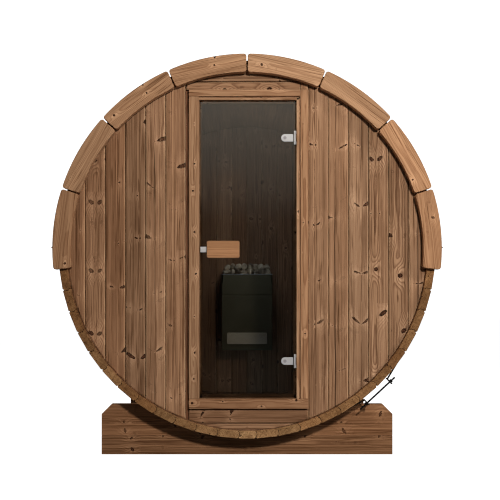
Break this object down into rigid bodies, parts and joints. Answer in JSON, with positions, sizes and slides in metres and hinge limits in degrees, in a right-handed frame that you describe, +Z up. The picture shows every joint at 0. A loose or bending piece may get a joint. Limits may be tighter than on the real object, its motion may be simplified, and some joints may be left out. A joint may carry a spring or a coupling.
{
  "type": "barrel sauna",
  "caption": "Outdoor barrel sauna: a round timber shell on two cradles with steel bands, a roofed top, a hinged smoked glass door and a wall-hung heater.",
  "frame": {"origin": "on the ground, under the middle of the barrel", "axes": "+Z up, the door end faces -Y, +X is to the right seen from the front"},
  "size_m": [2.0746, 1.89, 2.1445],
  "materials": {
    "stave_wood": "heat-treated softwood, planed",
    "wall_wood": "heat-treated softwood boards, planed",
    "fascia_wood": "heat-treated softwood, planed, rounded corners",
    "frame_wood": "heat-treated softwood, planed",
    "handle_wood": "light wood, sanded",
    "cradle_wood": "heat-treated softwood, planed",
    "smoked_glass": "tempered, smoked",
    "satin_steel": "satin",
    "threaded_steel": "zinc plated",
    "black_steel": "black powder coat",
    "heater_steel": "black enamel",
    "heater_grey": "grey enamel",
    "stones": "rough split stone",
    "roofing": "matt black membrane"
  },
  "bodies": {
    "barrel": {"staves_bottom": "stave_wood", "staves_01": "stave_wood", "staves_02": "stave_wood", "staves_03": "stave_wood", "staves_04": "stave_wood", "staves_05": "stave_wood", "staves_06": "stave_wood", "staves_07": "stave_wood", "staves_08": "stave_wood", "staves_09": "stave_wood", "staves_10": "stave_wood", "staves_11": "stave_wood", "staves_12": "stave_wood", "front_wall_left": "wall_wood", "front_wall_right": "wall_wood", "front_wall_header": "wall_wood", "front_wall_sill": "wall_wood", "rear_wall": "wall_wood", "fascia_front_left": "fascia_wood", "fascia_front_right": "fascia_wood", "fascia_rear_left": "fascia_wood", "fascia_rear_right": "fascia_wood", "jamb_left": "frame_wood", "jamb_right": "frame_wood", "door_head": "frame_wood", "door_threshold": "frame_wood", "hinge_pins": "satin_steel", "front_cradle_base": "cradle_wood", "front_cradle_saddle": "cradle_wood", "rear_cradle_base": "cradle_wood", "rear_cradle_saddle": "cradle_wood", "band_front": "black_steel", "band_rear": "black_steel", "tensioner_front": "threaded_steel", "tensioner_rear": "threaded_steel", "roof_cover": "roofing", "heater_body": "heater_steel", "heater_stones": "stones", "heater_plate": "heater_grey", "duckboard": "frame_wood"},
    "door": {"door_glass": "smoked_glass", "hinge_clamps": "satin_steel", "door_handle_outer": "handle_wood", "door_handle_inner": "handle_wood", "latch_plate": "satin_steel"}
  },
  "joints": [
    {"name": "door_hinge", "type": "hinge", "parent": "barrel", "child": "door", "pos_m": [0.255, -0.87, 1.118], "axis": [0, 0, 1], "range_deg": [0, 105]}
  ]
}
